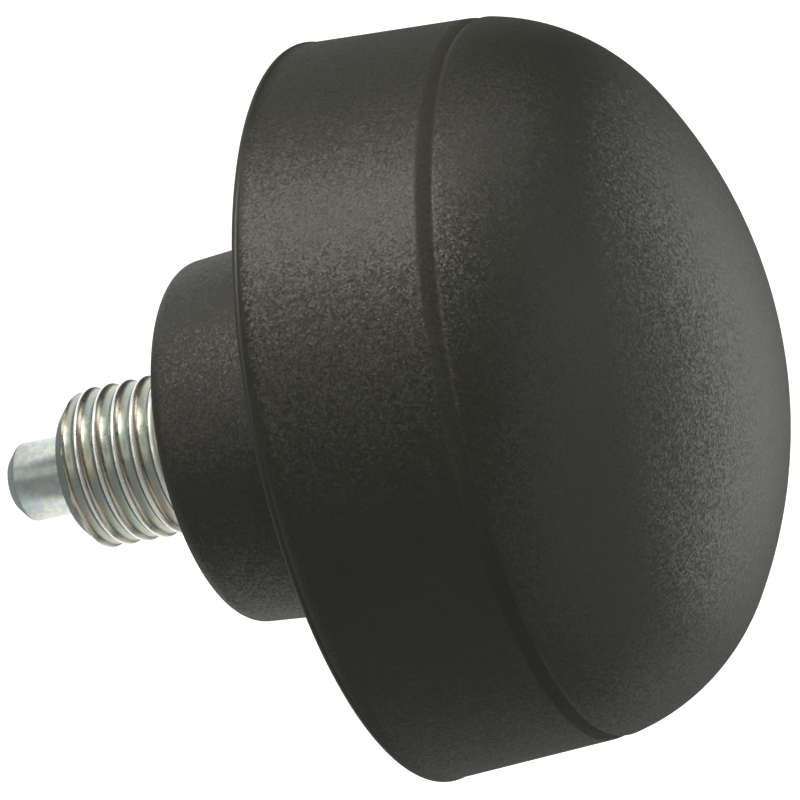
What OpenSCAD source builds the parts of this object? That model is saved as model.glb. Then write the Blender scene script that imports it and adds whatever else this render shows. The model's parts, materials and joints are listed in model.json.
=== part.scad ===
// Spring-loaded index plunger with a mushroom pull knob.
// +Z is the way the knob is pulled. The origin is the centre of the seating face,
// where the collar meets the panel that the thread is screwed into.

/* [Threaded bush] */
// Major diameter of the thread
thread_d = 12; // [11:0.5:16]
// Length of the thread below the seating face
thread_l = 11.5; // [9:0.5:24]
// Bevel at the free end of the thread
nose_bevel = 1.1; // [0.4:0.1:1.4]
// Length of the close bore that guides the pin
guide_l = 4; // [3:0.5:6]
// Diameter of the flange that bears on the panel
flange_d = 20; // [18:0.5:23]
// Thickness of the flange
flange_h = 2.5; // [1.5:0.5:4]
// Diameter of the barrel inside the collar
barrel_d = 15; // [13:0.5:16]
// Height of the barrel above the seating face
barrel_h = 10; // [7:0.5:12]

/* [Index pin] */
// Diameter of the pin
pin_d = 6; // [5:0.25:6.5]
// How far the pin stands out of the bush at rest
pin_out = 5.5; // [3:0.5:8]
// Chamfer on the tip of the pin
tip_chamfer = 0.9; // [0.3:0.1:1.5]
// Thickness of the shoulder that the spring pushes on
shoulder_h = 2; // [1:0.5:3]
// Diameter of the stem that carries the knob
stem_d = 5; // [4:0.25:5.5]
// Length of the stem that is held in the knob
stem_in = 12; // [8:0.5:14]

/* [Spring] */
// Diameter of the spring wire
wire_d = 0.7; // [0.5:0.1:1]
// Turns between the two closed ends
active_turns = 6; // [4:1:7]

/* [End plug] */
// Thickness of the ring that closes the spring chamber
plug_h = 2; // [1.5:0.5:3]

/* [Collar] */
// Diameter of the collar at the seating face
collar_d = 26.8; // [25:0.2:30]
// Draft of the collar's side, which widens towards the knob, in degrees
collar_draft = 4; // [0:0.5:5]
// Rounding of the collar's lower edge
collar_round = 1.2; // [0.5:0.1:2]
// Height of the collar that the knob's rim covers at rest
collar_in = 6.2; // [4:0.2:8]

/* [Knob] */
// Diameter of the knob at its rim
knob_d = 54; // [50:0.5:60]
// Height of the rim above the seating face at rest
rim_z = 12.8; // [11:0.2:16]
// Height of the smooth side, from the rim to the crease
skirt_h = 13.4; // [11:0.2:16]
// Height of the crown above the crease
crown_h = 15.2; // [14:0.2:19]
// Draft of the side, which narrows towards the crown, in degrees
side_draft = 4.7; // [1:0.1:7]
// Angle that the surface turns through at the crease, in degrees
crease_turn = 7; // [3:0.5:15]
// Radius of the shoulder between the crease and the crown
shoulder_r = 15; // [11:0.5:17]
// Wall thickness of the moulding
wall = 3; // [2:0.25:4]
// Radius of the bead around the rim
bead_r = 0.5; // [0.3:0.05:0.8]
// How far the bead stands out of the side
bead_proud = 0.12; // [0.05:0.01:0.25]
// Width of the fine shadow line at the crease
line_w = 0.9; // [0.5:0.1:1.4]
// Depth of the fine shadow line at the crease
line_depth = 0.12; // [0.05:0.01:0.25]
// Diameter of the boss that holds the stem
boss_d = 13; // [10:0.5:16]
// Number of ribs under the crown
rib_n = 4; // [3:1:8]
// Thickness of a rib
rib_t = 2; // [1.5:0.25:3]

/* [Clearances] */
// Radial clearance of the pin and the stem in the parts that guide them
run_clear = 0.05; // [0.02:0.01:0.1]
// Radial clearance between the spring and what lies inside and outside it
spring_clear = 0.5; // [0.3:0.05:0.7]
// Radial clearance of the shoulder in the spring chamber
slide_clear = 0.2; // [0.1:0.05:0.4]
// Gap between faces that meet when the pin is fully out
stop_gap = 0.05; // [0.02:0.01:0.2]
// Gap between the knob's boss and the collar at rest
boss_gap = 0.4; // [0.3:0.1:1]

/* [Hidden] */
$fn = 128;
cut = 1;

// Bush and pin
bush_end_z = -thread_l;
tip_z = bush_end_z - pin_out;
spring_id = stem_d + 2 * spring_clear;
spring_od = spring_id + 2 * wire_d;
chamber_d = spring_od + 2 * spring_clear;
chamber_z = bush_end_z + guide_l;
shoulder_d = chamber_d - 2 * slide_clear;
shoulder_z = chamber_z + stop_gap;
plug_z = barrel_h - plug_h;

// Spring, with both ends closed
end_pitch = wire_d * 1.08;
spring_z0 = shoulder_z + shoulder_h + stop_gap + wire_d / 2;
spring_z1 = plug_z - stop_gap - wire_d / 2;
active_pitch = (spring_z1 - spring_z0 - 2 * end_pitch) / active_turns;
spring_turns = active_turns + 2;
ring_sides = 8;
rings_per_turn = 14;

// Collar and knob heights
collar_top = rim_z + collar_in;
boss_z = collar_top + boss_gap;
stem_top = boss_z + stem_in;
crease_z = rim_z + skirt_h;
knob_top = crease_z + crown_h;
rib_z = crease_z;

// Section of the knob: the drafted side turns by crease_turn into the shoulder arc,
// which is tangent to the crown arc, whose centre lies on the axis
knob_r = knob_d / 2;
side_r = knob_r - bead_proud;
crease_r = side_r - skirt_h * tan(side_draft);
crease_normal = 90 - side_draft - crease_turn;
shoulder_c = [crease_r - shoulder_r * sin(crease_normal), crease_z - shoulder_r * cos(crease_normal)];
drop = shoulder_c[1] - knob_top;
crown_r = (shoulder_r * shoulder_r - drop * drop - shoulder_c[0] * shoulder_c[0]) / (2 * (drop + shoulder_r));
crown_c = knob_top - crown_r;
crown_edge = atan2(shoulder_c[0], shoulder_c[1] - crown_c);
far = crown_r + knob_d;

// Shadow line: a shallow round groove centred on the crease
line_r = (line_w * line_w / 4 + line_depth * line_depth) / (2 * line_depth);
line_out = line_r - line_depth;

// Half section inside the drafted side, moved in by inset
module side_section(inset) {
    in_r = inset / cos(side_draft);
    top_z = knob_top + cut;
    polygon([
        [0, rim_z],
        [side_r - in_r, rim_z],
        [side_r - in_r - (top_z - rim_z) * tan(side_draft), top_z],
        [0, top_z]
    ]);
}

// Half section under the shoulder and crown arcs, moved in by inset
module crown_section(inset) {
    translate([0, rim_z]) square([knob_r, shoulder_c[1] - rim_z]);
    translate(shoulder_c) circle(shoulder_r - inset);
    intersection() {
        translate([0, crown_c]) circle(crown_r - inset);
        polygon([[0, crown_c], [far * sin(crown_edge), crown_c + far * cos(crown_edge)], [0, crown_c + far]]);
    }
}

// Half section of the whole knob, moved in by inset
module knob_section(inset) {
    intersection() {
        side_section(inset);
        crown_section(inset);
    }
}

// Half section of the moulded wall, with its bead and shadow line
module wall_section() {
    difference() {
        union() {
            knob_section(0);
            translate([knob_r - bead_r, rim_z + bead_r]) circle(bead_r);
        }
        translate([knob_r - bead_r, rim_z - cut]) square([bead_r + cut, bead_r + cut]);
        knob_section(wall);
        translate([crease_r + line_out * sin(crease_normal), crease_z + line_out * cos(crease_normal)])
            circle(line_r);
    }
    intersection() {
        translate([knob_r - bead_r, rim_z + bead_r]) circle(bead_r);
        translate([knob_r - bead_r, rim_z]) square([bead_r, bead_r]);
    }
}

// Boss and ribs, which grow out of the inside of the crown
module boss_and_ribs() {
    intersection() {
        union() {
            translate([0, 0, boss_z]) cylinder(d = boss_d, h = knob_top - boss_z);
            for (i = [0 : rib_n - 1])
                rotate([0, 0, i * 360 / rib_n])
                    translate([0, -rib_t / 2, rib_z]) cube([knob_r, rib_t, knob_top - rib_z]);
        }
        rotate_extrude() knob_section(wall / 2);
    }
}

module knob() {
    color("#33332f")
    difference() {
        union() {
            rotate_extrude() wall_section();
            boss_and_ribs();
        }
        translate([0, 0, boss_z - cut]) cylinder(d = stem_d, h = stem_in + cut);
    }
}

// Half section of the collar's outside, with its lower edge rounded
module collar_section() {
    foot_r = collar_d / 2;
    tilt = tan(collar_draft);
    round_c = foot_r - collar_round * (1 - sin(collar_draft)) / cos(collar_draft);
    difference() {
        polygon([[0, 0], [foot_r, 0], [foot_r + collar_top * tilt, collar_top], [0, collar_top]]);
        translate([round_c, -cut]) square([collar_d, collar_round + cut]);
    }
    intersection() {
        translate([round_c, collar_round]) circle(collar_round);
        translate([round_c, 0]) square([collar_round, collar_round]);
    }
}

module collar() {
    color("#2f2f2b")
    difference() {
        rotate_extrude() collar_section();
        translate([0, 0, -cut]) cylinder(d = flange_d, h = flange_h + cut);
        translate([0, 0, -cut]) cylinder(d = barrel_d, h = barrel_h + cut);
        cylinder(d = stem_d + 2 * spring_clear, h = collar_top + cut);
    }
}

module guide_bush() {
    thread_r = thread_d / 2;
    color("#b9bfae")
    difference() {
        rotate_extrude() polygon([
            [0, bush_end_z],
            [thread_r - nose_bevel, bush_end_z],
            [thread_r, bush_end_z + nose_bevel],
            [thread_r, 0],
            [flange_d / 2, 0],
            [flange_d / 2, flange_h],
            [barrel_d / 2, flange_h],
            [barrel_d / 2, barrel_h],
            [0, barrel_h]
        ]);
        translate([0, 0, bush_end_z - cut]) cylinder(d = pin_d + 2 * run_clear, h = guide_l + 2 * cut);
        translate([0, 0, chamber_z]) cylinder(d = chamber_d, h = barrel_h - chamber_z + cut);
    }
}

module end_plug() {
    color("#9aa097")
    translate([0, 0, plug_z])
    difference() {
        cylinder(d = chamber_d, h = plug_h);
        translate([0, 0, -cut]) cylinder(d = stem_d + 2 * run_clear, h = plug_h + 2 * cut);
    }
}

module index_pin() {
    pin_r = pin_d / 2;
    color("#aeb4ab")
    rotate_extrude() polygon([
        [0, tip_z],
        [pin_r - tip_chamfer, tip_z],
        [pin_r, tip_z + tip_chamfer],
        [pin_r, shoulder_z],
        [shoulder_d / 2, shoulder_z],
        [shoulder_d / 2, shoulder_z + shoulder_h],
        [stem_d / 2, shoulder_z + shoulder_h],
        [stem_d / 2, stem_top],
        [0, stem_top]
    ]);
}

// Height of the wire's centre after a number of turns: closed, open, closed
function wire_z(turn) =
    turn < 1 ? spring_z0 + end_pitch * turn
    : turn < spring_turns - 1 ? spring_z0 + end_pitch + active_pitch * (turn - 1)
    : spring_z1 - end_pitch * (spring_turns - turn);

// One corner of the wire's section
function wire_point(turn, side) =
    let (
        r = (spring_id + wire_d) / 2 + wire_d / 2 * cos(side * 360 / ring_sides),
        z = wire_z(turn) + wire_d / 2 * sin(side * 360 / ring_sides)
    )
    [r * cos(turn * 360), r * sin(turn * 360), z];

module spring() {
    last = spring_turns * rings_per_turn;
    points = [for (i = [0 : last], k = [0 : ring_sides - 1]) wire_point(i / rings_per_turn, k)];
    skin = [
        for (i = [0 : last - 1], k = [0 : ring_sides - 1])
            let (a = i * ring_sides, b = a + ring_sides, n = (k + 1) % ring_sides)
            each [[a + k, b + n, a + n], [a + k, b + k, b + n]]
    ];
    start_cap = [[for (k = [0 : ring_sides - 1]) k]];
    end_cap = [[for (k = [ring_sides - 1 : -1 : 0]) last * ring_sides + k]];
    color("#7d8288") polyhedron(points = points, faces = concat(skin, start_cap, end_cap));
}

knob();
collar();
guide_bush();
end_plug();
index_pin();
spring();
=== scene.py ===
import json
import math
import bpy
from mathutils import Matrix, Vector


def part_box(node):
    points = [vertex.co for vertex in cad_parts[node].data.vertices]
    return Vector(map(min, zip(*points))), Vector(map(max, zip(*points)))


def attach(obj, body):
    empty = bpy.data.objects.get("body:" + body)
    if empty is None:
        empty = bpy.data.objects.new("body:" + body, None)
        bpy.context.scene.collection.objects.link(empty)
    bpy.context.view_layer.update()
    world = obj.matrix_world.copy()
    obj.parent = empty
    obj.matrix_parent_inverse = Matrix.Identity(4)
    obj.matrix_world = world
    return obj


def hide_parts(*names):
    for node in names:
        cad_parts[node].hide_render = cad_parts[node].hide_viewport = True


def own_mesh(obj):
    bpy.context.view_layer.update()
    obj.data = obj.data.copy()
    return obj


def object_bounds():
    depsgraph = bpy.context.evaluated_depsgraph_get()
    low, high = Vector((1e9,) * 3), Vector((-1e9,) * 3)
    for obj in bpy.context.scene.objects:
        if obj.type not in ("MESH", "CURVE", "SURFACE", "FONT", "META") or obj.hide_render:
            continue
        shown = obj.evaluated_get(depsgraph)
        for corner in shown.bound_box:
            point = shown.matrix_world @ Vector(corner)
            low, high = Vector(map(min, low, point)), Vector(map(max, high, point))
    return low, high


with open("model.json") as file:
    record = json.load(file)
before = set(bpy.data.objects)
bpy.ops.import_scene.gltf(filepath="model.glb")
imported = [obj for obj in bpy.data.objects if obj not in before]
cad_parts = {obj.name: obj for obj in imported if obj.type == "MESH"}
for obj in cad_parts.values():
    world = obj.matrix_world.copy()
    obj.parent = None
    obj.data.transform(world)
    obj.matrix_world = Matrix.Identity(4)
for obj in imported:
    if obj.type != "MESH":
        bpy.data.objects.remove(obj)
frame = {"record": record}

from types import SimpleNamespace

import bmesh
import bpy
from bpy.props import FloatProperty, FloatVectorProperty, IntProperty, PointerProperty
from mathutils import Matrix, Vector

bl_info = {
    "name": "Index Plunger",
    "version": (1, 0, 0),
    "blender": (4, 5, 0),
    "location": "3D View > Sidebar > Plunger",
    "description": "Builds a spring-loaded index plunger with a mushroom pull knob",
    "category": "Add Mesh",
}

MM = 0.001
CAD_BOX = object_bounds()

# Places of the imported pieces, in metres: +Z is the way the knob is pulled
KNOB_LOW, KNOB_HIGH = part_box("knob")
COLLAR_LOW, COLLAR_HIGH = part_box("collar")
BUSH_LOW, BUSH_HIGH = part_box("guide_bush")
PLUG_LOW, PLUG_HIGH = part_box("end_plug")
PIN_LOW, PIN_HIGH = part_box("index_pin")
SPRING_LOW, SPRING_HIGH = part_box("spring")
MOUNT_R = {m["name"]: m["dims"].get("r_mm", 0) * MM for m in frame["record"]["mounts"]}
THREAD_R = MOUNT_R["thread"]
PIN_R = MOUNT_R["pin_nose"]
SEAT_Z = 0.0

# Fineness of the meshes
TURN_STEPS = 256
ARC_STEP = math.radians(12)
KNOB_STEP = math.radians(2)
SIDE_STEP = 0.8 * MM
LINE_STEPS = 12
COIL_STEPS = 40
WIRE_SIDES = 12
SHARP_ANGLE = math.radians(38)
ON_AXIS = 1e-7
MERGE_GAP = 0.004 * MM

# The knob's grain starts this many bead radii above the rim
GRAIN_START = 1.6

# Share of the nose bevel that is turned and not threaded
NOSE_SHARE = 0.35

# Width of the narrow rings that join the bush's turned faces to its thread
JOIN_WIDTH = 0.2 * MM


# Properties

def length(name, millimetres, words):
    """A size that is shown in the sidebar, given in millimetres."""
    return FloatProperty(
        name=name, description=words, default=millimetres * MM,
        subtype="DISTANCE", unit="LENGTH", precision=5,
    )


def angle(name, degrees, words):
    """An angle that is shown in the sidebar, given in degrees."""
    return FloatProperty(
        name=name, description=words, default=math.radians(degrees),
        subtype="ANGLE", unit="ROTATION",
    )


def colour(name, rgb, words):
    """A linear colour that is shown in the sidebar."""
    return FloatVectorProperty(
        name=name, description=words, default=rgb,
        size=3, min=0, max=1, subtype="COLOR",
    )


def share(name, value, words):
    """A plain number that is shown in the sidebar."""
    return FloatProperty(name=name, description=words, default=value, min=0, precision=3)


class PlungerKnobSizes(bpy.types.PropertyGroup):
    """Sizes of the mushroom knob"""
    side_height: length("Side height", 13.4, "From the rim up to the crease")
    side_draft: angle("Side draft", 4.7, "How far the side leans in towards the crown")
    crease_turn: angle("Crease turn", 7, "How far the surface turns at the crease")
    shoulder: length("Shoulder radius", 15, "Radius of the shoulder above the crease")
    wall: length("Wall", 3, "Wall thickness of the moulding")
    bead: length("Rim bead", 0.35, "Radius of the bead around the rim")
    bead_proud: length("Bead height", 0.06, "How far the bead stands out of the side")
    line_side: length("Shadow line, side", 0.9, "Width of the fine valley at the crease, on the side")
    line_crown: length("Shadow line, crown", 0.45, "Width of the fine valley at the crease, on the crown")
    line_depth: length("Shadow line depth", 0.2, "Depth of the fine valley at the crease")
    boss: length("Boss diameter", 13, "Boss that holds the pin's stem")
    boss_gap: length("Boss gap", 0.4, "From the collar up to the boss")
    rib_count: IntProperty(name="Ribs", description="Ribs under the crown", default=4, min=3, max=8)
    rib_thickness: length("Rib thickness", 2, "Thickness of a rib")
    rib_root: length("Rib root", 1, "How far a rib runs into the boss")
    edge: length("Edge rounding", 0.3, "Rounding of the moulding's inner edges")


class PlungerCollarSizes(bpy.types.PropertyGroup):
    """Sizes of the collar"""
    draft: angle("Draft", 4, "How far the side leans out towards the knob")
    foot_rounding: length("Foot rounding", 1.2, "Rounding of the edge at the seating face")
    top_rounding: length("Top rounding", 0.4, "Rounding of the edge under the knob")
    bore_clearance: length("Bore clearance", 0.5, "Radial room around the pin's stem")


class PlungerBushSizes(bpy.types.PropertyGroup):
    """Sizes of the threaded bush"""
    pitch: length("Thread pitch", 1.5, "Distance from crest to crest")
    depth: length("Thread depth", 0.3, "Height of the thread's ridges")
    flank: angle("Flank", 40, "Angle between a flank and the plane across the thread")
    crest_flat: length("Crest flat", 0.16, "Width of the thread's flat crest")
    crest_rounding: length("Crest rounding", 0.08, "Rounding of the crest's edges")
    root_rounding: length("Root rounding", 0.6, "Radius of the thread's root")
    nose_bevel: length("Nose bevel", 1.1, "Bevel at the free end")
    run_out: length("Run-out", 0.7, "Length over which the thread fades at its ends")
    flange_height: length("Flange height", 2.5, "Thickness of the flange in the collar")
    barrel: length("Barrel diameter", 15, "Barrel inside the collar")
    guide: length("Guide length", 4, "Length of the bore that guides the pin")
    run_clearance: length("Running clearance", 0.05, "Radial clearance of the pin")
    edge: length("Edge rounding", 0.12, "Rounding of the turned edges")


class PlungerPinSizes(bpy.types.PropertyGroup):
    """Sizes of the index pin"""
    tip_chamfer: length("Tip chamfer", 0.9, "Chamfer on the tip")
    tip_rounding: length("Tip rounding", 0.35, "Rounding of the chamfer's edges")
    stem: length("Stem diameter", 5, "Stem that carries the knob")
    shoulder_height: length("Shoulder height", 2, "Shoulder that the spring pushes on")
    stop_gap: length("Stop gap", 0.05, "Gap between the shoulder and its stop")
    edge: length("Edge rounding", 0.1, "Rounding of the turned edges")


class PlungerSpringSizes(bpy.types.PropertyGroup):
    """Sizes of the spring"""
    wire: length("Wire diameter", 0.7, "Diameter of the spring wire")
    active_turns: IntProperty(
        name="Active turns", description="Turns between the closed ends", default=6, min=3,
    )
    end_pitch: share("End pitch", 1.08, "Pitch of a closed end, in wire diameters")


class PlungerFinish(bpy.types.PropertyGroup):
    """Colours and grain of the finishes"""
    plastic: colour("Plastic", (0.0080, 0.0078, 0.0036), "Colour of the moulded plastic")
    plastic_pale: colour("Plastic, pale", (0.0110, 0.0108, 0.0054), "Paler clouds in the plastic")
    grain: length("Grain size", 0.15, "Size of the moulded grain")
    grain_depth: length("Grain depth", 0.012, "Depth of the moulded grain")
    grain_tilt: share("Grain tilt", 0.26, "How far the grain's small faces lean")
    matt_band: length("Matt band", 1.1, "Width of the matt band along the crease")
    matt_gain: share("Matt gain", 0.28, "How much rougher the matt band is")
    zinc: colour("Zinc", (0.56, 0.64, 0.55), "Main colour of the zinc plating")
    zinc_straw: colour("Zinc, straw", (0.72, 0.68, 0.54), "Straw tint of the passivation")
    zinc_rose: colour("Zinc, rose", (0.74, 0.68, 0.56), "Rose tint of the passivation")
    zinc_teal: colour("Zinc, teal", (0.48, 0.62, 0.60), "Teal tint of the passivation")
    bush_dull: share("Bush roughness", 0.3, "Roughness of the bush's plating")
    # Pale colour of the thread's crests and how far down it reaches: a painted highlight along the crests
    zinc_crest_highlight: colour("Zinc, bright", (0.92, 0.93, 0.90), "Burnished crests of the thread")
    crest_highlight_reach: length("Crest wear", 0.12, "How far down the thread's crests are burnished")
    # The bush's plating painted darker than the pin's: painted shade in the thread, and partly a duller
    # plating
    bush_painted_shade: share("Bush shade", 0.62, "How much darker the bush's plating is than the pin's")
    pin_dull: share("Pin roughness", 0.13, "Roughness of the pin's plating")
    # Violet spots on the pin and their strength: a painted reflection of violet surroundings, spread over
    # the pin as random spots
    zinc_violet_reflection: colour("Zinc, violet", (0.40, 0.40, 0.56), "Violet bloom on the pin")
    pin_reflection_spots: share("Pin bloom", 0.45, "Strength of the violet bloom on the pin")
    spring_steel: colour("Spring steel", (0.36, 0.37, 0.39), "Colour of the spring wire")


class PlungerStageSizes(bpy.types.PropertyGroup):
    """Camera, floor and light of the studio"""
    tilt: angle("View tilt", 19.07, "How far the dome leans towards the camera")
    roll: angle("View roll", 11.46, "How far the axis climbs to the right in the picture")
    distance: share("View distance", 8.54, "Camera distance in knob radii")
    rim_px: share("Knob radius", 374.5, "Radius of the rim in the picture, in pixels")
    centre_x_px: share("Rim centre across", 386.7, "Centre of the rim in the picture, in pixels")
    centre_y_px: share("Rim centre down", 409.4, "Centre of the rim in the picture, in pixels")
    floor_gap: length("Floor gap", 14, "From the pin's tip down to the floor")
    floor_size: length("Floor size", 6000, "Width of the floor")


class PlungerSettings(bpy.types.PropertyGroup):
    """Everything that can be set on the plunger"""
    knob: PointerProperty(type=PlungerKnobSizes)
    collar: PointerProperty(type=PlungerCollarSizes)
    bush: PointerProperty(type=PlungerBushSizes)
    pin: PointerProperty(type=PlungerPinSizes)
    spring: PointerProperty(type=PlungerSpringSizes)
    finish: PointerProperty(type=PlungerFinish)
    stage: PointerProperty(type=PlungerStageSizes)


# Half sections: lists of (radius, height) points

def arc(centre, radius, start, end, step=ARC_STEP):
    """Points on an arc, with angles measured from the radial direction towards +Z."""
    steps = max(2, math.ceil(abs(end - start) / step))
    turns = [start + (end - start) * i / steps for i in range(steps + 1)]
    x, y = centre
    return [Vector((x + radius * math.cos(t), y + radius * math.sin(t))) for t in turns]


def rounded(corners):
    """Points along corners of (radius, height, rounding), each corner with its own rounding."""
    points = []
    for i, (r, z, rounding) in enumerate(corners):
        corner = Vector((r, z))
        if rounding == 0:
            points.append(corner)
            continue
        back = (Vector(corners[i - 1][:2]) - corner).normalized()
        ahead = (Vector(corners[i + 1][:2]) - corner).normalized()
        turn = math.pi - back.angle(ahead)
        centre = corner + (back + ahead).normalized() * (rounding / math.cos(turn / 2))
        spoke = corner + back * (rounding * math.tan(turn / 2)) - centre
        side = 1 if back.x * ahead.y - back.y * ahead.x < 0 else -1
        steps = max(3, math.ceil(turn / ARC_STEP))
        points += [centre + Matrix.Rotation(side * turn * k / steps, 2) @ spoke for k in range(steps + 1)]
    return points


def spaced(start, end, step):
    """Points along a straight line, about step apart, without its end."""
    count = max(1, math.ceil((end - start).length / step))
    return [start.lerp(end, i / count) for i in range(count)]


# Meshes

def smooth_mesh(bm, name):
    """Mesh object from bm, smooth apart from its sharp edges."""
    bmesh.ops.recalc_face_normals(bm, faces=bm.faces)
    for face in bm.faces:
        face.smooth = True
    mesh = bpy.data.meshes.new(name)
    bm.to_mesh(mesh)
    bm.free()
    mesh.set_sharp_from_angle(angle=SHARP_ANGLE)
    made = bpy.data.objects.new(name, mesh)
    bpy.context.scene.collection.objects.link(made)
    return made


def ring(bm, r, z):
    """Vertices of one turned circle, or the one vertex on the axis."""
    if r < ON_AXIS:
        return [bm.verts.new((0, 0, z))]
    turns = [2 * math.pi * i / TURN_STEPS for i in range(TURN_STEPS)]
    return [bm.verts.new((r * math.cos(t), r * math.sin(t), z)) for t in turns]


def join_rings(bm, low, high):
    """Faces between two turned circles, one of which may be a point."""
    count = max(len(low), len(high))
    for i in range(count):
        n = (i + 1) % count
        corners = [low[i % len(low)], low[n % len(low)], high[n % len(high)], high[i % len(high)]]
        bm.faces.new(list(dict.fromkeys(corners)))


def turned(bm, section, closed=False):
    """Surface of revolution of a half section. Returns its rings."""
    rings = [ring(bm, p.x, p.y) for p in section]
    for low, high in zip(rings, rings[1:] + (rings[:1] if closed else [])):
        join_rings(bm, low, high)
    return rings


def finish_piece(made, body, node, material):
    """Rides the piece on its body in place of its CAD node."""
    made.data.materials.clear()
    made.data.materials.append(material)
    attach(made, body)
    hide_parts(node)


# Knob

def knob_form(sizes):
    """Centres, radii and angles of the knob's arcs."""
    rim_z, top = KNOB_LOW.z, KNOB_HIGH.z
    side_r = KNOB_HIGH.x - sizes.bead_proud
    crease_r = side_r - sizes.side_height * math.tan(sizes.side_draft)
    crease = Vector((crease_r, rim_z + sizes.side_height))
    normal = sizes.side_draft + sizes.crease_turn
    shoulder_c = crease - sizes.shoulder * Vector((math.cos(normal), math.sin(normal)))
    drop = shoulder_c.y - top
    crown_r = (sizes.shoulder**2 - drop**2 - shoulder_c.x**2) / (2 * (drop + sizes.shoulder))
    crown_z = top - crown_r
    return SimpleNamespace(
        rim_z=rim_z, side_r=side_r, crease=crease, normal=normal,
        shoulder_c=shoulder_c, crown_r=crown_r, crown_z=crown_z,
        crown_edge=math.atan2(shoulder_c.y - crown_z, shoulder_c.x),
        up_side=Vector((-math.sin(sizes.side_draft), math.cos(sizes.side_draft))),
    )


def crown_line(sizes, form, inset, start=None):
    """From the top of the side, over the shoulder and the crown, to the axis, moved in by inset."""
    reach = sizes.shoulder - inset
    if start is None:
        to_side = sizes.shoulder * math.cos(sizes.crease_turn) - inset
        start = sizes.side_draft + math.acos(to_side / reach)
    shoulder = arc(form.shoulder_c, reach, start, form.crown_edge, KNOB_STEP)
    crown = arc((0, form.crown_z), form.crown_r - inset, form.crown_edge, math.pi / 2, KNOB_STEP)
    return shoulder + crown[1:]


def shadow_line(sizes, form):
    """The soft valley at the crease, from the side, at -1, to the shoulder, at 1."""
    points = []
    side_normal = Vector((math.cos(sizes.side_draft), math.sin(sizes.side_draft)))
    for i in range(-LINE_STEPS, LINE_STEPS + 1):
        place = i / LINE_STEPS
        if i < 0:
            normal = side_normal
            base = form.crease + form.up_side * sizes.line_side * place
        else:
            turn = form.normal + sizes.line_crown * place / sizes.shoulder
            normal = Vector((math.cos(turn), math.sin(turn)))
            base = form.shoulder_c + normal * sizes.shoulder
        depth = sizes.line_depth * (1 - abs(math.sin(math.pi / 2 * place)))
        points.append(base - normal * depth)
    return points


def rim_bead(sizes, form):
    """The bead, from the rim's flat face round to where it meets the side."""
    centre = Vector((KNOB_HIGH.x - sizes.bead, form.rim_z + sizes.bead))
    normal = Vector((math.cos(sizes.side_draft), math.sin(sizes.side_draft)))
    to_side = normal.dot(Vector((form.side_r, form.rim_z)) - centre)
    meet = sizes.side_draft + math.acos(to_side / sizes.bead)
    return arc(centre, sizes.bead, -math.pi / 2, meet)


def knob_section(sizes, pin):
    """Half section of the hollow knob, from the stem's hole round to the top."""
    form = knob_form(sizes)
    boss_z = COLLAR_HIGH.z + sizes.boss_gap
    boss_r, stem_r = sizes.boss / 2, pin.stem / 2
    inner_rim = form.side_r - sizes.wall / math.cos(sizes.side_draft)
    inner_crown = crown_line(sizes, form, sizes.wall)
    inside = [p for p in inner_crown if p.x > boss_r]
    boss_top = form.crown_z + math.sqrt((form.crown_r - sizes.wall)**2 - boss_r**2)
    start = rounded([
        (0, PIN_HIGH.z, 0),
        (stem_r, PIN_HIGH.z, 0),
        (stem_r, boss_z, sizes.edge / 2),
        (boss_r, boss_z, sizes.edge),
        (boss_r, boss_top, 0),
    ])
    rim = rounded([
        (inside[0].x, inside[0].y, 0),
        (inner_rim, form.rim_z, sizes.edge),
        (KNOB_HIGH.x - sizes.bead, form.rim_z, 0),
    ])
    bead = rim_bead(sizes, form)
    line = shadow_line(sizes, form)
    side = spaced(bead[-1], line[0], SIDE_STEP)
    after_line = form.normal + sizes.line_crown / sizes.shoulder
    crown = crown_line(sizes, form, 0, start=after_line)
    return start + inside[::-1] + rim[1:-1] + bead + side[1:] + line + crown[1:]


def add_ribs(bm, sizes):
    """Flat ribs between the boss and the wall, under the crown."""
    form = knob_form(sizes)
    root = sizes.boss / 2 - sizes.rib_root
    low = form.crease.y
    outline = [p for p in crown_line(sizes, form, sizes.wall / 2) if p.x > root and p.y > low]
    foot = form.crease.x - sizes.wall / 2
    top = form.crown_z + math.sqrt((form.crown_r - sizes.wall / 2)**2 - root**2)
    plate = [Vector((root, low)), Vector((foot, low))] + outline + [Vector((root, top))]
    for k in range(sizes.rib_count):
        turn = Matrix.Rotation(2 * math.pi * k / sizes.rib_count, 4, "Z")
        sides = []
        for offset in (-sizes.rib_thickness / 2, sizes.rib_thickness / 2):
            sides.append([bm.verts.new(turn @ Vector((p.x, offset, p.y))) for p in plate])
        bm.faces.new(sides[0])
        bm.faces.new(sides[1][::-1])
        for i in range(len(plate)):
            n = (i + 1) % len(plate)
            bm.faces.new([sides[0][n], sides[0][i], sides[1][i], sides[1][n]])


def unite(made, other):
    """Adds the other solid to the piece and drops the other."""
    joint = made.modifiers.new("unite", "BOOLEAN")
    joint.operation = "UNION"
    joint.solver = "EXACT"
    joint.object = other
    bpy.context.view_layer.update()
    result = made.evaluated_get(bpy.context.evaluated_depsgraph_get())
    mesh = bpy.data.meshes.new_from_object(result)
    made.modifiers.clear()
    made.data = mesh
    bpy.data.objects.remove(other)
    mesh.set_sharp_from_angle(angle=SHARP_ANGLE)


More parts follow.
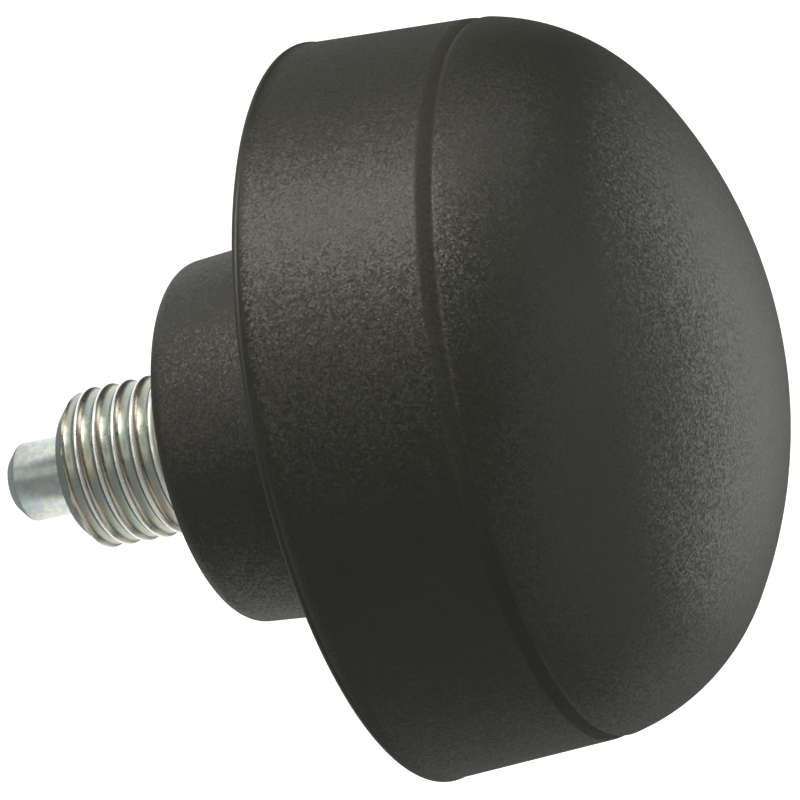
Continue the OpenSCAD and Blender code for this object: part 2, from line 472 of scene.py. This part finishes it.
class PLUNGER_OT_knob(bpy.types.Operator):
    """Builds the hollow mushroom knob with its boss and ribs"""
    bl_idname = "plunger.knob"
    bl_label = "Knob"

    def execute(self, context):
        settings = context.scene.plunger
        bm = bmesh.new()
        turned(bm, knob_section(settings.knob, settings.pin))
        knob = smooth_mesh(bm, "pull_knob")
        bm = bmesh.new()
        add_ribs(bm, settings.knob)
        unite(knob, smooth_mesh(bm, "knob_ribs"))
        smooth_below = KNOB_LOW.z + GRAIN_START * settings.knob.bead
        matt_at = knob_form(settings.knob).crease.y - settings.knob.line_side / 2
        knob_plastic = plastic("knob plastic", settings.finish, smooth_below, matt_at)
        finish_piece(knob, "plunger", "knob", knob_plastic)
        return {"FINISHED"}


# Collar

class PLUNGER_OT_collar(bpy.types.Operator):
    """Builds the plastic collar around the bush"""
    bl_idname = "plunger.collar"
    bl_label = "Collar"

    def execute(self, context):
        settings = context.scene.plunger
        sizes, bush = settings.collar, settings.bush
        foot_r = COLLAR_HIGH.x - COLLAR_HIGH.z * math.tan(sizes.draft)
        bore = settings.pin.stem / 2 + sizes.bore_clearance
        section = rounded([
            (bore, BUSH_HIGH.z, 0),
            (bush.barrel / 2, BUSH_HIGH.z, 0),
            (bush.barrel / 2, bush.flange_height, 0),
            (BUSH_HIGH.x, bush.flange_height, 0),
            (BUSH_HIGH.x, SEAT_Z, 0),
            (foot_r, SEAT_Z, sizes.foot_rounding),
            (COLLAR_HIGH.x, COLLAR_HIGH.z, sizes.top_rounding),
            (bore, COLLAR_HIGH.z, 0),
        ])
        bm = bmesh.new()
        turned(bm, section, closed=True)
        collar = smooth_mesh(bm, "collar_moulding")
        collar_plastic = plastic("collar plastic", settings.finish, SEAT_Z)
        finish_piece(collar, "housing", "collar", collar_plastic)
        return {"FINISHED"}


# Bush

def thread_profile(sizes):
    """One pitch of the thread as points of (height, radius), with a narrow crest and a wide root."""
    middle = sizes.pitch / 2
    crest = sizes.crest_flat / 2
    foot = crest + sizes.depth * math.tan(sizes.flank)
    root_r = THREAD_R - sizes.depth
    return rounded([
        (0, root_r, 0),
        (middle - foot, root_r, sizes.root_rounding),
        (middle - crest, THREAD_R, sizes.crest_rounding),
        (middle + crest, THREAD_R, sizes.crest_rounding),
        (middle + foot, root_r, sizes.root_rounding),
        (sizes.pitch, root_r, 0),
    ])[:-1]


def thread_surface(bm, sizes, low_z):
    """Right-hand thread from below low_z to above the seat, open at both ends."""
    profile = thread_profile(sizes)
    pitches = math.ceil((SEAT_Z - low_z) / sizes.pitch) + 2
    start = low_z - sizes.pitch
    full_low = BUSH_LOW.z + sizes.nose_bevel
    columns = []
    for i in range(TURN_STEPS):
        turn = 2 * math.pi * i / TURN_STEPS
        column = []
        for row in range(pitches * len(profile)):
            step, point = divmod(row, len(profile))
            z = start + sizes.pitch * (step + i / TURN_STEPS) + profile[point].x
            at_seat = min(1, max(0, (SEAT_Z - z) / sizes.run_out))
            at_nose = min(1, max(0, (z - full_low) / sizes.run_out + 1))
            depth = (THREAD_R - profile[point].y) * (at_seat * at_nose)
            cone = THREAD_R - max(0, full_low - z)
            r = min(cone, THREAD_R - depth)
            column.append(bm.verts.new((r * math.cos(turn), r * math.sin(turn), z)))
        columns.append(column)
    for i, column in enumerate(columns):
        one_pitch_up = len(profile) if i + 1 == TURN_STEPS else 0
        beside = columns[(i + 1) % TURN_STEPS][one_pitch_up:]
        for row in range(len(beside) - 1):
            bm.faces.new([column[row], beside[row], beside[row + 1], column[row + 1]])


def trim_thread(bm, low_z):
    """Cuts the thread off flat at both ends. Returns the open edges at the seat and at the nose."""
    for z, outward in ((SEAT_Z, 1), (low_z, -1)):
        bmesh.ops.bisect_plane(
            bm, geom=bm.verts[:] + bm.edges[:] + bm.faces[:],
            plane_co=(0, 0, z), plane_no=(0, 0, outward), clear_outer=True,
        )
    bmesh.ops.remove_doubles(bm, verts=bm.verts[:], dist=MERGE_GAP)
    middle = (SEAT_Z + low_z) / 2
    ends = [e for e in bm.edges if e.is_boundary]
    seat_loop = [e for e in ends if e.verts[0].co.z > middle]
    nose_loop = [e for e in ends if e.verts[0].co.z <= middle]
    return seat_loop, nose_loop


class PLUNGER_OT_bush(bpy.types.Operator):
    """Builds the threaded steel bush"""
    bl_idname = "plunger.bush"
    bl_label = "Threaded bush"

    def execute(self, context):
        settings = context.scene.plunger
        sizes = settings.bush
        finish = settings.finish
        low_z = BUSH_LOW.z + NOSE_SHARE * sizes.nose_bevel
        bm = bmesh.new()
        thread_surface(bm, sizes, low_z)
        seat_loop, nose_loop = trim_thread(bm, low_z)
        guide_r = PIN_R + sizes.run_clearance
        cone_r = THREAD_R - sizes.nose_bevel
        chamber_z = BUSH_LOW.z + sizes.guide
        section = rounded([
            (THREAD_R + JOIN_WIDTH, SEAT_Z, 0),
            (BUSH_HIGH.x, SEAT_Z, sizes.edge),
            (BUSH_HIGH.x, sizes.flange_height, 0),
            (sizes.barrel / 2, sizes.flange_height, 0),
            (sizes.barrel / 2, BUSH_HIGH.z, sizes.edge),
            (PLUG_HIGH.x, BUSH_HIGH.z, 0),
            (PLUG_HIGH.x, chamber_z, 0),
            (guide_r, chamber_z, 0),
            (guide_r, BUSH_LOW.z, sizes.edge),
            (cone_r, BUSH_LOW.z, sizes.edge),
            (cone_r + JOIN_WIDTH, BUSH_LOW.z + JOIN_WIDTH, 0),
        ])
        rings = turned(bm, section)
        for circle, loop in ((rings[0], seat_loop), (rings[-1], nose_loop)):
            corners = set(circle)
            edges = {e for v in circle for e in v.link_edges if set(e.verts) <= corners}
            bmesh.ops.bridge_loops(bm, edges=list(edges) + loop)
        bush = smooth_mesh(bm, "threaded_bush")
        bush_zinc = zinc("bush zinc", finish, finish.bush_dull, shade=finish.bush_painted_shade, crest_r=THREAD_R)
        finish_piece(bush, "housing", "guide_bush", bush_zinc)
        return {"FINISHED"}


# Pin and end plug

class PLUNGER_OT_pin(bpy.types.Operator):
    """Builds the turned index pin"""
    bl_idname = "plunger.pin"
    bl_label = "Index pin"

    def execute(self, context):
        settings = context.scene.plunger
        sizes = settings.pin
        shoulder_z = BUSH_LOW.z + settings.bush.guide + sizes.stop_gap
        shoulder_top = shoulder_z + sizes.shoulder_height
        section = rounded([
            (0, PIN_LOW.z, 0),
            (PIN_R - sizes.tip_chamfer, PIN_LOW.z, sizes.tip_rounding),
            (PIN_R, PIN_LOW.z + sizes.tip_chamfer, sizes.tip_rounding),
            (PIN_R, shoulder_z, 0),
            (PIN_HIGH.x, shoulder_z, sizes.edge),
            (PIN_HIGH.x, shoulder_top, sizes.edge),
            (sizes.stem / 2, shoulder_top, 0),
            (sizes.stem / 2, PIN_HIGH.z, sizes.edge),
            (0, PIN_HIGH.z, 0),
        ])
        bm = bmesh.new()
        turned(bm, section)
        pin = smooth_mesh(bm, "turned_pin")
        finish = settings.finish
        pin_zinc = zinc("pin zinc", finish, finish.pin_dull, reflection_spots=finish.pin_reflection_spots)
        finish_piece(pin, "plunger", "index_pin", pin_zinc)
        return {"FINISHED"}


class PLUNGER_OT_plug(bpy.types.Operator):
    """Builds the ring that closes the spring chamber"""
    bl_idname = "plunger.plug"
    bl_label = "End plug"

    def execute(self, context):
        settings = context.scene.plunger
        edge = settings.pin.edge
        bore = settings.pin.stem / 2 + settings.bush.run_clearance
        section = rounded([
            (bore, PLUG_LOW.z, edge),
            (PLUG_HIGH.x, PLUG_LOW.z, edge),
            (PLUG_HIGH.x, PLUG_HIGH.z, edge),
            (bore, PLUG_HIGH.z, 0),
        ])
        bm = bmesh.new()
        turned(bm, section, closed=True)
        plug = smooth_mesh(bm, "plug_ring")
        plug_zinc = zinc("plug zinc", settings.finish, settings.finish.bush_dull)
        finish_piece(plug, "housing", "end_plug", plug_zinc)
        return {"FINISHED"}


# Spring

def coil_height(sizes, turn):
    """Height of the wire's centre after a number of turns: closed, open, closed."""
    low, high = SPRING_LOW.z + sizes.wire / 2, SPRING_HIGH.z - sizes.wire / 2
    end = sizes.end_pitch * sizes.wire
    last = sizes.active_turns + 2
    if turn < 1:
        return low + end * turn
    if turn > last - 1:
        return high - end * (last - turn)
    return low + end + (high - low - 2 * end) * (turn - 1) / sizes.active_turns


class PLUNGER_OT_spring(bpy.types.Operator):
    """Builds the spring around the pin's stem"""
    bl_idname = "plunger.spring"
    bl_label = "Spring"

    def execute(self, context):
        settings = context.scene.plunger
        sizes = settings.spring
        wire_r = sizes.wire / 2
        coil_r = SPRING_HIGH.x - wire_r
        bm = bmesh.new()
        rings = []
        for i in range((sizes.active_turns + 2) * COIL_STEPS + 1):
            turn = i / COIL_STEPS
            spin = Matrix.Rotation(2 * math.pi * turn, 3, "Z")
            height = coil_height(sizes, turn)
            circle = []
            for k in range(WIRE_SIDES):
                around = 2 * math.pi * k / WIRE_SIDES
                point = Vector((coil_r + wire_r * math.cos(around), 0, height + wire_r * math.sin(around)))
                circle.append(bm.verts.new(spin @ point))
            rings.append(circle)
        for low, high in zip(rings, rings[1:]):
            join_rings(bm, low, high)
        bm.faces.new(rings[0])
        bm.faces.new(rings[-1][::-1])
        spring = smooth_mesh(bm, "coil_spring")
        finish_piece(spring, "housing", "spring", spring_steel(settings.finish))
        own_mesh(spring)
        return {"FINISHED"}


# Materials

class Nodes:
    """Shorthand for building one material's node tree."""

    def __init__(self, name):
        self.material = bpy.data.materials.new(name)
        self.material.use_nodes = True
        self.tree = self.material.node_tree
        self.shader = self.tree.nodes["Principled BSDF"]
        self.coords = self.add("ShaderNodeTexCoord").outputs["Object"]

    def add(self, kind, **values):
        """A node with its settings and its inputs, each a value or another node's output."""
        node = self.tree.nodes.new(kind)
        for key, value in values.items():
            if hasattr(node, key) and key not in node.inputs:
                setattr(node, key, value)
                continue
            self.put(node.inputs[key], value)
        return node

    def put(self, socket, value):
        """Sets a socket to a value or links it to an output."""
        if isinstance(value, bpy.types.NodeSocket):
            self.tree.links.new(value, socket)
        else:
            socket.default_value = value

    def noise(self, size, detail=2.0, rough=0.5):
        """Noise with features of about a size in metres."""
        node = self.add(
            "ShaderNodeTexNoise", Vector=self.coords, Scale=1 / size, Detail=detail, Roughness=rough,
        )
        return node.outputs["Fac"]

    def ramp(self, factor, *stops):
        """Colour ramp through stops of (place, linear colour)."""
        node = self.add("ShaderNodeValToRGB", Fac=factor)
        keys = node.color_ramp.elements
        while len(keys) < len(stops):
            keys.new(0.5)
        for key, (place, rgb) in zip(keys, stops):
            key.position = place
            key.color = (*rgb, 1)
        return node.outputs["Color"]

    def range(self, value, low, high, to_low, to_high):
        """Value mapped from one range to another."""
        node = self.add("ShaderNodeMapRange", Value=value)
        node.inputs["From Min"].default_value = low
        node.inputs["From Max"].default_value = high
        node.inputs["To Min"].default_value = to_low
        node.inputs["To Max"].default_value = to_high
        return node.outputs["Result"]

    def mix(self, factor, first, rgb):
        """First colour, turned into another by a factor."""
        node = self.add("ShaderNodeMixRGB", Fac=factor, Color1=first, Color2=(*rgb, 1))
        return node.outputs["Color"]

    def vector(self, operation, first, second=(0, 0, 0)):
        """One operation on vectors."""
        node = self.add("ShaderNodeVectorMath", operation=operation)
        self.put(node.inputs[0], first)
        self.put(node.inputs[1], second)
        return node.outputs["Vector"]

    def reach(self, vector):
        """Length of a vector."""
        node = self.add("ShaderNodeVectorMath", operation="LENGTH")
        self.put(node.inputs[0], vector)
        return node.outputs["Value"]

    def math(self, operation, first, second=0):
        """One sum, product or other operation."""
        node = self.add("ShaderNodeMath", operation=operation)
        self.put(node.inputs[0], first)
        self.put(node.inputs[1], second)
        return node.outputs["Value"]


# Range that most values of a noise texture lie in
NOISE_SPAN = (0.3, 0.7)

# Plastic: how much finer the fine grain is than the coarse, and their shares of the height
FINER = 2.4
COARSE_SHARE, FINE_SHARE = 0.7, 0.3

# Fade at the grain's lower edge, and size of the paler clouds
GRAIN_FADE = 0.2 * MM
CLOUD_SIZE = 6 * MM

# Range of the plastic's roughness, and what a grazing view adds to it
PLASTIC_ROUGH = (0.36, 0.6)
GRAZING_GAIN, GRAZING_POWER = 0.2, 3

# Zinc: how far a face looks along the axis for the last tint, and the clouds that shift the tint
TINT_FACING = 0.9
TINT_CLOUDS, TINT_SHIFT = 2.2 * MM, 0.25

# Size and range of the violet spots, a painted reflection, and size and spread of the duller areas
REFLECTION_SPOT_SIZE, REFLECTION_SPOT_SPAN = 0.5 * MM, (0.42, 0.58)
DULL_AREAS, DULL_SPREAD = 0.6 * MM, 0.2

# Fine unevenness of the plating
UNEVEN_SIZE, UNEVEN_DEPTH, UNEVEN_STRENGTH = 0.35 * MM, 0.004 * MM, 0.5

# Spring wire: size and shade of the streaks, and the range of roughness
STREAK_SIZE, STREAK_SHADE = 0.5 * MM, 0.7
WIRE_ROUGH = (0.25, 0.4)


def plastic(name, finish, smooth_below, matt_at=None):
    """Black moulded plastic with a fine grain, smooth below one height and matt around another."""
    n = Nodes(name)
    coarse = n.range(n.noise(finish.grain, detail=1), *NOISE_SPAN, 0, 1)
    fine = n.range(n.noise(finish.grain / FINER, detail=1), *NOISE_SPAN, 0, 1)
    height = n.math("ADD", n.math("MULTIPLY", coarse, COARSE_SHARE), n.math("MULTIPLY", fine, FINE_SHARE))
    z = n.add("ShaderNodeSeparateXYZ", Vector=n.coords).outputs["Z"]
    grained = n.range(z, smooth_below, smooth_below + GRAIN_FADE, 0, 1)
    faces = n.add("ShaderNodeTexVoronoi", Vector=n.coords, Scale=1 / finish.grain).outputs["Color"]
    centred = n.vector("SUBTRACT", faces, (0.5, 0.5, 0.5))
    lean = n.vector("MULTIPLY", centred, (finish.grain_tilt,) * 3)
    normal = n.add("ShaderNodeNewGeometry").outputs["Normal"]
    leaning = n.vector("NORMALIZE", n.vector("ADD", normal, n.vector("MULTIPLY", lean, grained)))
    bump = n.add(
        "ShaderNodeBump", Strength=grained, Distance=finish.grain_depth, Height=height, Normal=leaning,
    )
    clouds = n.noise(CLOUD_SIZE, detail=3, rough=0.55)
    shades = zip(NOISE_SPAN, (finish.plastic, finish.plastic_pale))
    n.put(n.shader.inputs["Base Color"], n.ramp(clouds, *shades))
    grazing = n.math("POWER", n.add("ShaderNodeLayerWeight").outputs["Facing"], GRAZING_POWER)
    rough = n.math("ADD", n.range(fine, 0, 1, *PLASTIC_ROUGH), n.math("MULTIPLY", grazing, GRAZING_GAIN))
    if matt_at is not None:
        aside = n.math("ABSOLUTE", n.math("SUBTRACT", z, matt_at))
        half = finish.matt_band / 2
        rough = n.math("ADD", rough, n.range(aside, half / 2, half, finish.matt_gain, 0))
    n.put(n.shader.inputs["Roughness"], rough)
    n.put(n.shader.inputs["Normal"], bump.outputs["Normal"])
    return n.material


def zinc(name, finish, dull, reflection_spots=0, shade=1, crest_r=0):
    """Zinc plating, tinted from teal on faces that look to the nose to rose on those that look away."""
    n = Nodes(name)
    normal = n.add("ShaderNodeNewGeometry").outputs["Normal"]
    facing = n.add("ShaderNodeSeparateXYZ", Vector=normal).outputs["Z"]
    shift = n.range(n.noise(TINT_CLOUDS), *NOISE_SPAN, -TINT_SHIFT, TINT_SHIFT)
    tint = n.math("ADD", n.range(facing, -TINT_FACING, TINT_FACING, 0, 1), shift)
    tints = (
        (0.1, finish.zinc_teal),
        (0.45, finish.zinc),
        (0.7, finish.zinc_straw),
        (0.95, finish.zinc_rose),
    )
    # A shade below 1 darkens the plating colour: painted shade
    plating = n.ramp(tint, *((place, [shade * c for c in rgb]) for place, rgb in tints))
    # Painted reflection: violet spots mixed into the plating
    if reflection_spots:
        reflected_violet = n.range(n.noise(REFLECTION_SPOT_SIZE, detail=3, rough=0.6), *REFLECTION_SPOT_SPAN, 0, reflection_spots)
        plating = n.mix(reflected_violet, plating, finish.zinc_violet_reflection)
    # Painted highlight: the thread's crests are painted pale near their full radius
    if crest_r:
        spoke = n.reach(n.vector("MULTIPLY", n.coords, (1, 1, 0)))
        crest_highlight = n.range(spoke, crest_r - finish.crest_highlight_reach, crest_r - finish.crest_highlight_reach / 4, 0, 1)
        plating = n.mix(crest_highlight, plating, finish.zinc_crest_highlight)
    n.put(n.shader.inputs["Base Color"], plating)
    n.shader.inputs["Metallic"].default_value = 1
    areas = n.noise(DULL_AREAS, detail=3, rough=0.6)
    rough = n.range(areas, *NOISE_SPAN, (1 - DULL_SPREAD) * dull, (1 + DULL_SPREAD) * dull)
    n.put(n.shader.inputs["Roughness"], rough)
    uneven = n.noise(UNEVEN_SIZE, detail=3, rough=0.6)
    bump = n.add("ShaderNodeBump", Strength=UNEVEN_STRENGTH, Distance=UNEVEN_DEPTH, Height=uneven)
    n.put(n.shader.inputs["Normal"], bump.outputs["Normal"])
    return n.material


def spring_steel(finish):
    """Drawn spring wire with fine streaks."""
    n = Nodes("spring steel")
    streaks = n.noise(STREAK_SIZE, detail=4, rough=0.6)
    darker = tuple(STREAK_SHADE * c for c in finish.spring_steel)
    shades = zip(NOISE_SPAN, (darker, finish.spring_steel))
    n.put(n.shader.inputs["Base Color"], n.ramp(streaks, *shades))
    n.shader.inputs["Metallic"].default_value = 1
    n.put(n.shader.inputs["Roughness"], n.range(streaks, *NOISE_SPAN, *WIRE_ROUGH))
    return n.material


# Studio

# The picture and the camera
PHOTO_PX = 800
SENSOR_MM = 36
CLIP_START = 0.01

# The floor's own shade, and how white it looks on top of that
FLOOR_GREY = (0.5, 0.5, 0.5)
FLOOR_ROUGH = 0.9
FLOOR_WHITE = 0.84

# The patch of floor that metal mirrors as white: its centre, where it starts to fade and where it ends,
# and the same for the painted shadow under the pin's tip, where the patch stays dark
WHITE_CENTRE = (0, 60 * MM, 0)
WHITE_REACH = (78 * MM, 88 * MM)
SHADED_REACH = (20 * MM, 34 * MM)

# Even light from all round
WORLD_LIGHT = 0.06

# Softboxes, all at one distance in metres from the plunger's middle
LAMP_DISTANCE = 0.6

# Name, direction as (right, up, towards the camera), width and height in metres, watts, colour
SOFTBOXES = (
    ("key", (-0.46, 0.75, 0.44), 0.12, 0.12, 2.4, (1.0, 0.96, 0.88)),
    ("left", (-0.75, 0.22, 0.62), 0.13, 0.13, 0.75, (1.0, 0.95, 0.86)),
    ("top", (0.15, 0.95, 0.22), 0.40, 0.25, 0.8, (1.0, 0.98, 0.95)),
    ("right", (0.84, 0.12, -0.53), 0.30, 0.60, 1.8, (1.0, 1.0, 0.97)),
    ("under", (0.55, -0.60, -0.58), 0.30, 0.30, 0.25, (1.0, 1.0, 0.97)),
    ("glint", (0.77, 0.43, 0.48), 0.06, 0.06, 0.12, (1.0, 1.0, 0.97)),
    ("fill", (0.78, -0.20, 0.59), 1.00, 2.00, 5.2, (1.0, 1.0, 0.97)),
)


def floor_material():
    """Pale floor that looks white to the camera, and to metal and glass near the plunger."""
    n = Nodes("pale floor")
    path = n.add("ShaderNodeLightPath")
    mirrored = n.math("MAXIMUM", path.outputs["Is Glossy Ray"], path.outputs["Is Transmission Ray"])
    patch = n.range(n.reach(n.vector("SUBTRACT", n.coords, WHITE_CENTRE)), *WHITE_REACH, 1, 0)
    # Painted shadow: the mirrored white patch stays dark under the pin's tip
    unshaded = n.range(n.reach(n.coords), *SHADED_REACH, 0, 1)
    white = n.math("MULTIPLY", patch, unshaded)
    seen = n.math("MAXIMUM", path.outputs["Is Camera Ray"], n.math("MULTIPLY", mirrored, white))
    n.shader.inputs["Base Color"].default_value = (*FLOOR_GREY, 1)
    n.shader.inputs["Roughness"].default_value = FLOOR_ROUGH
    n.shader.inputs["Emission Color"].default_value = (1, 1, 1, 1)
    n.put(n.shader.inputs["Emission Strength"], n.math("MULTIPLY", seen, FLOOR_WHITE))
    return n.material


def view_axes(stage):
    """Right, up and back of the picture, in the plunger's frame."""
    back = Vector((0, -math.cos(stage.tilt), math.sin(stage.tilt)))
    along = Vector((0, math.sin(stage.tilt), math.cos(stage.tilt)))
    across = Vector((-1, 0, 0))
    right = math.cos(stage.roll) * along - math.sin(stage.roll) * across
    up = math.sin(stage.roll) * along + math.cos(stage.roll) * across
    return right, up, back


def add_camera(stage):
    """Camera that shows the plunger at the picture's angle and place."""
    right, up, back = view_axes(stage)
    rim = Vector((0, 0, KNOB_LOW.z))
    knob_r = KNOB_HIGH.x
    distance = stage.distance * knob_r
    metres_per_px = knob_r / stage.rim_px
    across = (stage.centre_x_px - (PHOTO_PX - 1) / 2) * metres_per_px
    down = (stage.centre_y_px - (PHOTO_PX - 1) / 2) * metres_per_px
    camera = bpy.data.cameras.new("camera")
    camera.sensor_width = SENSOR_MM
    camera.lens = stage.rim_px * stage.distance * SENSOR_MM / PHOTO_PX
    camera.clip_start = CLIP_START
    made = bpy.data.objects.new("camera", camera)
    turn = Matrix((right, up, back)).transposed().to_4x4()
    place = rim + back * distance - right * across + up * down
    made.matrix_world = Matrix.Translation(place) @ turn
    bpy.context.scene.collection.objects.link(made)
    bpy.context.scene.camera = made


def add_softbox(stage, name, direction, width, height, watts, rgb):
    """Area light that looks at the middle of the plunger."""
    right, up, back = view_axes(stage)
    way = (right * direction[0] + up * direction[1] + back * direction[2]).normalized()
    light = bpy.data.lights.new(name, "AREA")
    light.shape = "RECTANGLE"
    light.size = width
    light.size_y = height
    light.energy = watts
    light.color = rgb
    made = bpy.data.objects.new(name, light)
    middle = (CAD_BOX[0] + CAD_BOX[1]) / 2
    across = up.cross(way).normalized()
    turn = Matrix((across, way.cross(across), way)).transposed().to_4x4()
    made.matrix_world = Matrix.Translation(middle + way * LAMP_DISTANCE) @ turn
    made.visible_camera = False
    bpy.context.scene.collection.objects.link(made)


def add_world():
    """Dim even light from all round."""
    world = bpy.data.worlds.new("studio")
    bpy.context.scene.world = world
    world.use_nodes = True
    backdrop = world.node_tree.nodes["Background"]
    backdrop.inputs["Color"].default_value = (1, 1, 1, 1)
    backdrop.inputs["Strength"].default_value = WORLD_LIGHT


class PLUNGER_OT_stage(bpy.types.Operator):
    """Builds the floor, the lights and the camera"""
    bl_idname = "plunger.stage"
    bl_label = "Studio"

    def execute(self, context):
        stage = context.scene.plunger.stage
        bm = bmesh.new()
        bmesh.ops.create_grid(bm, size=stage.floor_size / 2)
        floor = smooth_mesh(bm, "floor")
        floor.location.z = CAD_BOX[0].z - stage.floor_gap
        floor.data.materials.append(floor_material())
        # Two lamps stand lower than the floor, so it lets their light through
        floor.visible_shadow = False
        add_camera(stage)
        for softbox in SOFTBOXES:
            add_softbox(stage, *softbox)
        add_world()
        context.scene.view_settings.view_transform = "Standard"
        return {"FINISHED"}


# Sidebar and registration

OPERATORS = (
    PLUNGER_OT_knob, PLUNGER_OT_collar, PLUNGER_OT_bush, PLUNGER_OT_pin,
    PLUNGER_OT_plug, PLUNGER_OT_spring, PLUNGER_OT_stage,
)


class VIEW3D_PT_plunger(bpy.types.Panel):
    """Buttons and sizes of the plunger"""
    bl_label = "Index plunger"
    bl_space_type = "VIEW_3D"
    bl_region_type = "UI"
    bl_category = "Plunger"

    def draw(self, context):
        for operator in OPERATORS:
            self.layout.operator(operator.bl_idname)
        settings = context.scene.plunger
        for group in ("knob", "collar", "bush", "pin", "spring", "finish", "stage"):
            box = self.layout.box()
            box.label(text=group.capitalize())
            sizes = getattr(settings, group)
            for key in sizes.__annotations__:
                box.prop(sizes, key)


CLASSES = (
    PlungerKnobSizes, PlungerCollarSizes, PlungerBushSizes, PlungerPinSizes, PlungerSpringSizes,
    PlungerFinish, PlungerStageSizes, PlungerSettings, *OPERATORS, VIEW3D_PT_plunger,
)


def register():
    """Makes the settings, the operators and the sidebar known to Blender."""
    for cls in CLASSES:
        bpy.utils.register_class(cls)
    bpy.types.Scene.plunger = PointerProperty(type=PlungerSettings)


def unregister():
    """Takes them away again."""
    del bpy.types.Scene.plunger
    for cls in reversed(CLASSES):
        bpy.utils.unregister_class(cls)


def main():
    """Builds the plunger and its studio."""
    register()
    bpy.ops.plunger.knob()
    bpy.ops.plunger.collar()
    bpy.ops.plunger.bush()
    bpy.ops.plunger.pin()
    bpy.ops.plunger.plug()
    bpy.ops.plunger.spring()
    bpy.ops.plunger.stage()


if __name__ == "__main__":
    main()
